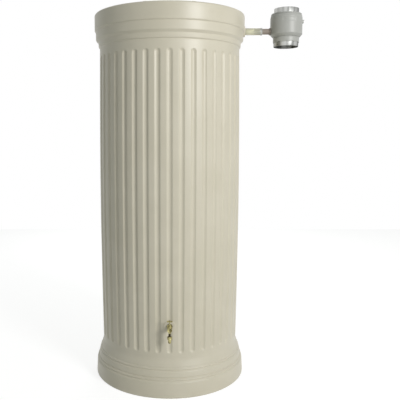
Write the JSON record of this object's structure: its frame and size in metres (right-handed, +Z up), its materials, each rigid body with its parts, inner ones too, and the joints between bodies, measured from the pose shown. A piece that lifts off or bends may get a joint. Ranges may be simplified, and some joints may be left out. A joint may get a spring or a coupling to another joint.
{
  "type": "fluted column rain barrel with a tap and a downpipe diverter",
  "caption": "Tall round rain barrel shaped like a fluted column, with a moulded plinth and cap, a brass tap low in front and a hose to a downpipe diverter.",
  "frame": {"origin": "centre of the barrel's foot on the floor", "axes": "+Z up along the barrel, -Y out of the front where the tap is, +X towards the downpipe diverter"},
  "size_m": [1.2206, 0.9292, 2.148],
  "materials": {
    "barrel_plastic": "moulded sand-beige polyethylene with a satin surface",
    "brass": "cast brass, lightly dulled",
    "rubber": "plain black seal rubber",
    "hose_plastic": "clear cream hose",
    "clip_steel": "stainless band",
    "spigot_plastic": "grey-brown moulded fitting",
    "diverter_plastic": "light grey moulded plastic",
    "zinc": "bright zinc sheet pipe"
  },
  "bodies": {
    "barrel": {"base_floor": "barrel_plastic", "connecting_hose": "hose_plastic", "cornice_back": "barrel_plastic", "cornice_front": "barrel_plastic", "cornice_left": "barrel_plastic", "cornice_right": "barrel_plastic", "diverter_body": "diverter_plastic", "diverter_catch": "diverter_plastic", "diverter_lip": "diverter_plastic", "diverter_sleeve": "diverter_plastic", "diverter_spigot": "spigot_plastic", "filler_collar": "barrel_plastic", "filler_lid": "barrel_plastic", "hose_clip": "clip_steel", "inlet_grommet": "rubber", "lower_pipe_stub": "zinc", "plinth_back": "barrel_plastic", "plinth_front": "barrel_plastic", "plinth_left": "barrel_plastic", "plinth_right": "barrel_plastic", "rim_lugs": "barrel_plastic", "spigot_nut": "spigot_plastic", "stave_back": "barrel_plastic", "stave_back_left": "barrel_plastic", "stave_back_right": "barrel_plastic", "stave_front": "barrel_plastic", "stave_front_left": "barrel_plastic", "stave_front_right": "barrel_plastic", "stave_left": "barrel_plastic", "stave_right": "barrel_plastic", "tap_body": "brass", "tap_bonnet": "brass", "tap_gland_nut": "brass", "tap_hose_tail": "brass", "tap_lock_nut": "brass", "tap_union_nut": "brass", "tap_washer": "rubber", "top_deck": "barrel_plastic", "upper_pipe_stub": "zinc"},
    "tap_turn": {"tap_spindle": "brass", "tap_handle": "brass"}
  },
  "joints": [
    {"name": "tap_handle_turn", "type": "hinge", "parent": "barrel", "child": "tap_turn", "pos_m": [0, -0.46364, 0.442], "axis": [0, 0, 1], "range_deg": [0, 450]}
  ]
}
